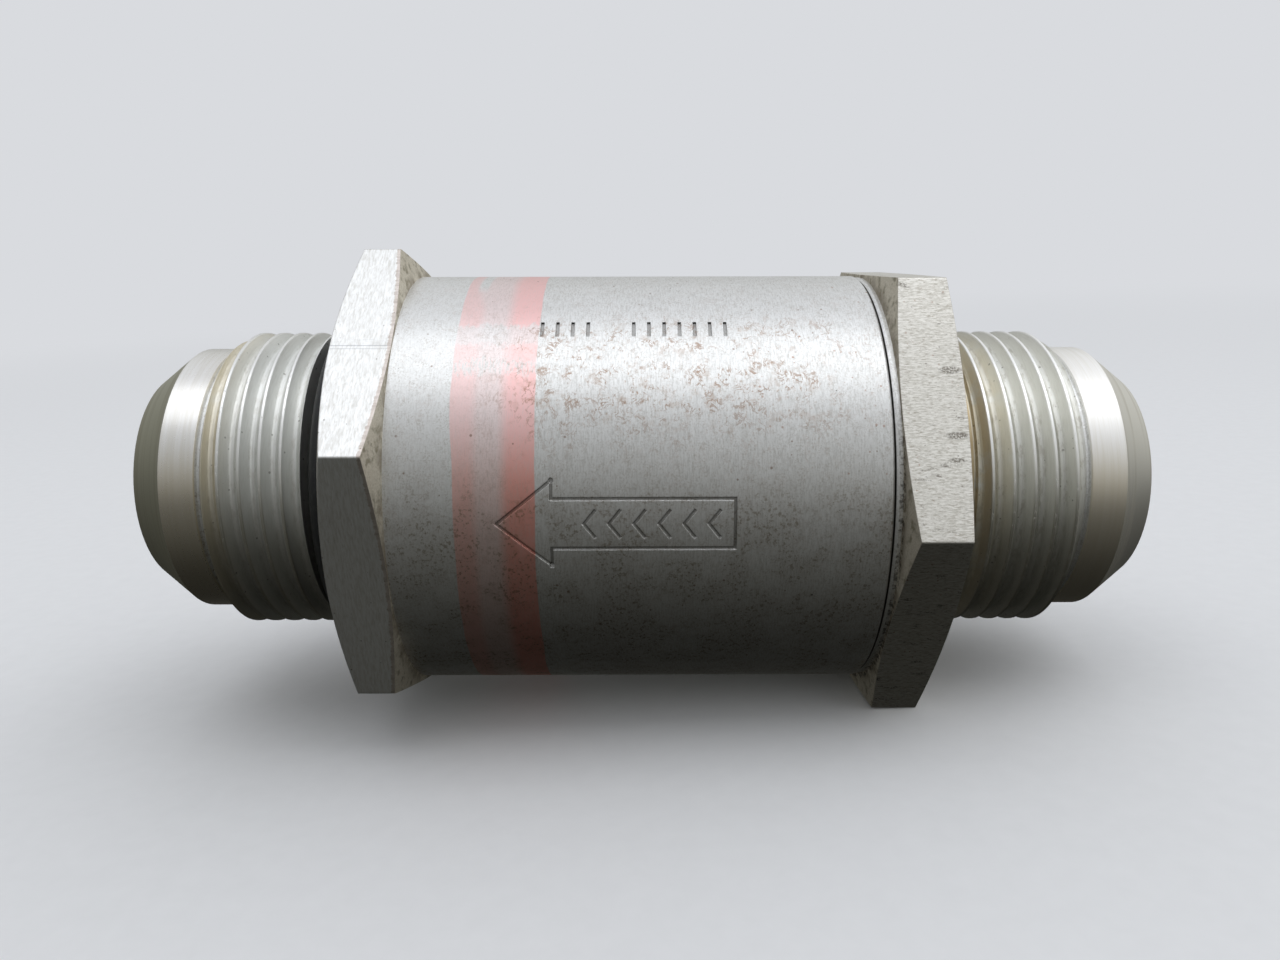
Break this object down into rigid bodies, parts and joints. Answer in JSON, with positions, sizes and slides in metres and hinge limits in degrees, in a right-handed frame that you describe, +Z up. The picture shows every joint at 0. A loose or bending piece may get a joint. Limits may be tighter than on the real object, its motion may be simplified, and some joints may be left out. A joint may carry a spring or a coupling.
{
  "type": "flow control valve",
  "caption": "In-line one-way flow control valve in aluminium with flared tube ends: free flow one way, flow through a metering jet the other way.",
  "frame": {"origin": "on the flow axis, half way between the two nose faces", "axes": "+X along the flow axis towards the end cap; +Z up, square to a flat of the end cap's hexagon; the flow arrow is on the -Y side"},
  "size_m": [0.1072, 0.053, 0.0518],
  "materials": {
    "body_aluminium": "bare, fine turned, satin, with a faded red band",
    "cap_aluminium": "bare, brushed flats, satin",
    "nitrile": "smooth, slightly oily",
    "ptfe": "smooth",
    "spring_steel": "drawn wire, oiled",
    "guide_steel": "turned, oiled",
    "hard_steel": "ground",
    "shim_steel": "rolled",
    "jet_steel": "turned",
    "screen_steel": "etched sheet"
  },
  "bodies": {
    "housing": {"valve_body": "body_aluminium", "end_cap": "cap_aluminium", "port_o_ring": "nitrile", "cap_o_ring": "nitrile", "cap_backup_ring": "ptfe", "preload_washer": "spring_steel", "poppet_guide": "guide_steel", "seat_ring": "hard_steel", "seat_o_ring": "nitrile", "seat_backup_ring": "ptfe", "spring_seat": "guide_steel", "spring_shims": "shim_steel", "poppet_spring": "spring_steel"},
    "poppet": {"poppet": "hard_steel", "metering_jet": "jet_steel", "jet_screen_front": "screen_steel", "jet_screen_rear": "screen_steel", "screen_ring_front": "screen_steel", "screen_ring_rear": "screen_steel", "spring_thrust_washer": "shim_steel"}
  },
  "joints": [
    {"name": "poppet_slide", "type": "slide", "parent": "housing", "child": "poppet", "axis": [-1, 0, 0], "range_m": [0, 0.004], "stiffness_N_per_m": 980, "springref_m": -0.012, "deforming": ["poppet_spring"]}
  ]
}
